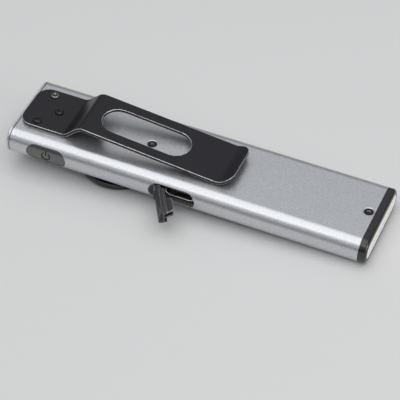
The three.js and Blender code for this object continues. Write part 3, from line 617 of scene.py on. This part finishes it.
def soften_bend(shape, start, end):
    """Turns a tight bend of the strip into one long curve between the same straights."""
    run = end - start
    places = [start + run * i / BEND_STEPS for i in range(-1, BEND_STEPS + 2)]
    low, high = zip(*[cut_across(shape, x) for x in places])
    for v in shape.verts:
        t = (v.co.x - start) / run
        if not 0 < t < 1:
            continue
        step = math.floor(t * BEND_STEPS)
        part = t * BEND_STEPS - step
        old, new = [], []
        for side in (low, high):
            old.append(side[step + 1] * (1 - part) + side[step + 2] * part)
            rise = (side[1] - side[0]) * BEND_STEPS
            fall = (side[-1] - side[-2]) * BEND_STEPS
            new.append(curve_between(t, side[1], rise, side[-2], fall))
        share = (v.co.z - old[0]) / (old[1] - old[0])
        v.co.z = new[0] + share * (new[1] - new[0])


def clip():
    """The pocket clip, with soft bends, and its rims rounded and rubbed to bright steel, which paints edge
    highlights.
    """
    shape = shape_of("pocket_clip")
    fill_holes(shape, CLIP_SCREWS)
    merge_flats(shape)
    obj = object_of(shape, "pocket_clip_finished")
    stand_for(obj, "pocket_clip")
    # Bright bare steel on the rims: rubbed wear, and painted edge highlights
    obj.data.materials.append(finishes["burnished_highlight_edge"])
    shape = round_edges(obj, CLIP_RIM, material=RIM_MATERIAL)
    for start, end in BENDS:
        soften_bend(shape, start, end)
    finish_mesh(obj, shape)


def button_face(z):
    """The y of the button's face, which follows the body's round side, at height z."""
    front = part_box("side_button")[0].y
    body_low, body_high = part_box("body_shell")
    sink = front - body_low.y
    radius = SIDE_RADIUS - sink
    flat = body_high.z - SIDE_RADIUS
    rise = max(0, abs(z) - flat)
    return front + radius - math.sqrt(radius * radius - rise * rise)


def wire_piece(name, runs, thickness):
    """Round wires through rows of points, as one mesh."""
    curve = bpy.data.curves.new(name, "CURVE")
    curve.dimensions = "3D"
    curve.bevel_depth = thickness
    curve.bevel_resolution = WIRE_ROUNDING
    curve.use_fill_caps = True
    for run in runs:
        spline = curve.splines.new("POLY")
        spline.points.add(len(run) - 1)
        for point, place in zip(spline.points, run):
            point.co = (*place, 1)
    drawn = add_object(name, curve)
    mesh = evaluated_mesh(drawn)
    bpy.data.objects.remove(drawn)
    obj = add_object(name, mesh)
    obj.data.shade_smooth()
    return obj


def button_mark():
    """A plain raised on-off sign on the button: an open ring with a bar in its gap."""
    low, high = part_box("side_button")
    middle = (low.x + high.x) / 2

    def on_face(x, z):
        return (middle + x, button_face(z), z)

    span = 2 * math.pi - 2 * MARK_GAP
    first = math.pi / 2 + MARK_GAP
    turns = [first + span * i / MARK_STEPS for i in range(MARK_STEPS + 1)]
    ring = [on_face(MARK_RADIUS * math.cos(t), MARK_RADIUS * math.sin(t)) for t in turns]
    foot, top = MARK_BAR
    bar = [on_face(0, foot + (top - foot) * i / BAR_STEPS) for i in range(BAR_STEPS + 1)]
    obj = wire_piece("button_mark", [ring, bar], MARK_WIRE)
    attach(obj, "button")
    obj.data.materials.append(finishes["mark_rubber"])


def add_box(shape, low, high):
    size = high - low
    place = Matrix.Translation((low + high) / 2) @ Matrix.Diagonal((*size, 1))
    bmesh.ops.create_cube(shape, size=1, matrix=place)


def usb_contacts():
    """Two rows of gilt contacts on the socket's tongue."""
    low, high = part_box("usb_socket_tongue")
    middle = (low.x + high.x) / 2
    front = low.y + CONTACT_SET_BACK
    half = Vector((CONTACT_WIDTH / 2, 0, CONTACT_HEIGHT))
    shape = bmesh.new()
    for i in range(CONTACTS):
        x = middle + (i - (CONTACTS - 1) / 2) * CONTACT_PITCH
        for z in (-TONGUE_HALF_HEIGHT, TONGUE_HALF_HEIGHT):
            near = Vector((x, front, z))
            far = Vector((x, front + CONTACT_LENGTH, z))
            add_box(shape, near - half, far + half)
    obj = object_of(shape, "usb_contacts")
    finish_mesh(obj, round_edges(obj, CONTACT_EDGE, CONTACT_EDGE_SEGMENTS))
    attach(obj, "light")
    obj.data.materials.append(finishes["gold_contact"])


def swept_band(shape, line, thickness, half_height, outer_half_height):
    """Adds an upright band along a line of points in plan; its outer side may be lower."""
    rings = []
    for i, point in enumerate(line):
        before, after = line[max(i - 1, 0)], line[min(i + 1, len(line) - 1)]
        along = (after - before).normalized()
        across = Vector((-along.y, along.x)) * thickness / 2
        inner, outer = point + across, point - across
        corners = (
            (*inner, -half_height),
            (*outer, -outer_half_height),
            (*outer, outer_half_height),
            (*inner, half_height),
        )
        rings.append([shape.verts.new(corner) for corner in corners])
    for first, second in zip(rings, rings[1:]):
        for k in range(4):
            following = (k + 1) % 4
            shape.faces.new((first[k], first[following], second[following], second[k]))
    shape.faces.new(rings[0][::-1])
    shape.faces.new(rings[-1])
    bmesh.ops.recalc_face_normals(shape, faces=shape.faces)


def measure_wear_and_sheen(mesh):
    """Stores how far each vertex stands out of its neighbours, averaged over a few of them."""
    shape = bmesh.new()
    shape.from_mesh(mesh)
    beside = [[edge.other_vert(v).index for edge in v.link_edges] for v in shape.verts]
    places = [v.co.copy() for v in shape.verts]
    wear = [
        v.normal.dot(v.co - sum((places[i] for i in near), Vector()) / len(near))
        for v, near in zip(shape.verts, beside)
    ]
    for _ in range(WEAR_AND_SHEEN_SPREAD):
        wear = [
            (w + sum(wear[i] for i in near)) / (1 + len(near))
            for w, near in zip(wear, beside)
        ]
    shape.free()
    mesh.attributes.new(WEAR_AND_SHEEN, "FLOAT", "POINT").data.foreach_set("value", wear)


def add_hinge_rubber(shape, pin, along):
    """Adds the strap over the hinge, the fold behind it and the beads along the flap."""
    inward = Vector((-along.y, along.x))
    anchor_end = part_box("port_cover_anchor")[1].x
    strap = [
        Vector((anchor_end - ANCHOR_OVERLAP, pin.y + STRAP_DEPTHS[0])),
        Vector((anchor_end, pin.y + STRAP_DEPTHS[1])),
        pin,
        pin + along * STRAP_REACHES[0],
        pin + along * STRAP_REACHES[1],
    ]
    swept_band(shape, strap, STRAP_THICKNESS, STRAP_HALF_HEIGHT, STRAP_OUTER_HALF_HEIGHT)
    fold = [
        Vector((anchor_end - ANCHOR_OVERLAP, pin.y + FOLD_DEPTH)),
        pin + Vector((FOLD_PAST_PIN, FOLD_DEPTH)),
        pin + along * FOLD_REACH + inward * FOLD_DEPTH,
    ]
    swept_band(shape, fold, FOLD_THICKNESS, STRAP_HALF_HEIGHT, STRAP_HALF_HEIGHT)
    for inset in BEADS:
        run = [pin + along * reach + inward * inset for reach in BEAD_RUN]
        swept_band(shape, run, BEAD_THICKNESS, BEAD_HALF_HEIGHT, BEAD_HALF_HEIGHT)


def port_cover():
    """Anchor, living hinge and flap as one rubber moulding, which bends at the hinge."""
    shape = bmesh.new()
    for node in ("port_cover_anchor", "port_flap"):
        part = shape_of(node)
        mesh = bpy.data.meshes.new("part")
        part.to_mesh(mesh)
        part.free()
        shape.from_mesh(mesh)
        bpy.data.meshes.remove(mesh)
    hinge = next(j for j in frame["joints"] if j["child"] == "flap")
    pin = Vector(hinge["pos_m"]).to_2d()
    along = Vector((math.cos(FLAP_OPEN), -math.sin(FLAP_OPEN)))
    add_hinge_rubber(shape, pin, along)
    obj = object_of(shape, "port_cover")
    melt = obj.modifiers.new("melt", "REMESH")
    melt.mode = "VOXEL"
    melt.voxel_size = COVER_VOXEL
    soften = obj.modifiers.new("soften", "SMOOTH")
    soften.factor = COVER_SMOOTHING_FACTOR
    soften.iterations = COVER_SMOOTHING
    final = evaluated_mesh(obj)
    obj.modifiers.clear()
    obj.data = final
    # How far convex edges stand out, which sets the pale scuffs and the painted edge sheen
    measure_wear_and_sheen(final)
    obj.data.shade_smooth()
    obj.data.materials.append(finishes["scuffed_sheened_rubber"])
    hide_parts("port_cover_anchor", "port_flap")
    start = pin - Vector((BEND_REACH, 0))
    end = pin + along * BEND_REACH
    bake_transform(obj, "light", "flap", start=(*start, 0), end=(*end, 0))


# Stage


def floor_under_light():
    """A floor that leans a little, as the light rests on its nose and its switch ring."""
    ring_low, ring_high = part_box("thumb_switch_ring")
    nose_low, nose_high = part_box("head_bezel")
    heel = Vector((ring_high.x, 0, ring_low.z))
    nose = Vector((nose_high.x, 0, nose_low.z))
    lean = math.atan2(nose.z - heel.z, nose.x - heel.x)
    half = FLOOR_SIZE / 2
    corners = [(-half, -half, 0), (half, -half, 0), (half, half, 0), (-half, half, 0)]
    mesh = bpy.data.meshes.new("floor")
    mesh.from_pydata(corners, [], [(0, 1, 2, 3)])
    floor = add_object("floor", mesh)
    floor.matrix_world = Matrix.Translation(heel) @ Matrix.Rotation(-lean, 4, "Y")
    material, _, shader = new_material("floor")
    shader.inputs["Base Color"].default_value = FLOOR_COLOUR
    shader.inputs["Roughness"].default_value = FLOOR_ROUGHNESS
    shader.inputs["Specular IOR Level"].default_value = FLOOR_SPECULAR
    floor.data.materials.append(material)


def soft_light(name, place, aim, size, radiance):
    """A rectangular softbox of that radiance, aimed at a point."""
    data = bpy.data.lights.new(name, "AREA")
    data.shape = "RECTANGLE"
    data.size, data.size_y = size
    data.energy = radiance * math.pi * size[0] * size[1]
    lamp = add_object(name, data)
    lamp.location = place
    lamp.rotation_euler = (Vector(aim) - Vector(place)).to_track_quat("-Z", "Y").to_euler()


def studio():
    world = bpy.data.worlds.new("studio")
    world.use_nodes = True
    tree = world.node_tree
    background = tree.nodes["Background"]
    background.inputs["Color"].default_value = SKY_COLOUR
    direction = add_node(tree, "ShaderNodeTexCoord")
    axes = add_node(tree, "ShaderNodeSeparateXYZ")
    rise = add_node(tree, "ShaderNodeMapRange", interpolation_type="SMOOTHSTEP")
    rise.inputs["From Max"].default_value = SKY_RISE
    rise.inputs["To Min"].default_value = SKY_HORIZON
    rise.inputs["To Max"].default_value = SKY_HIGH
    tree.links.new(direction.outputs["Generated"], axes.inputs["Vector"])
    tree.links.new(axes.outputs["Z"], rise.inputs["Value"])
    tree.links.new(rise.outputs["Result"], background.inputs["Strength"])
    bpy.context.scene.world = world
    middle = (cad_low + cad_high) / 2
    for name, place, size, radiance in LAMPS:
        soft_light(name, place, middle, size, radiance)
    bpy.context.scene.view_settings.view_transform = "Standard"


def photo_camera():
    data = bpy.data.cameras.new("photo")
    data.lens = LENS
    data.sensor_width = SENSOR
    camera = add_object("photo", data)
    a, e, r = VIEW_AZIMUTH, VIEW_ELEVATION, VIEW_ROLL
    back = Vector((math.sin(a) * math.cos(e), -math.cos(a) * math.cos(e), math.sin(e)))
    right = Vector((math.cos(a), math.sin(a), 0))
    up = back.cross(right)
    rolled_right = right * math.cos(r) + up * math.sin(r)
    rolled_up = up * math.cos(r) - right * math.sin(r)
    turn = Matrix((rolled_right, rolled_up, back)).transposed().to_4x4()
    camera.matrix_world = Matrix.Translation(VIEW_TARGET + back * VIEW_DISTANCE) @ turn
    bpy.context.scene.camera = camera


dress_nodes()
clip()
button_mark()
usb_contacts()
port_cover()
floor_under_light()
studio()
photo_camera()
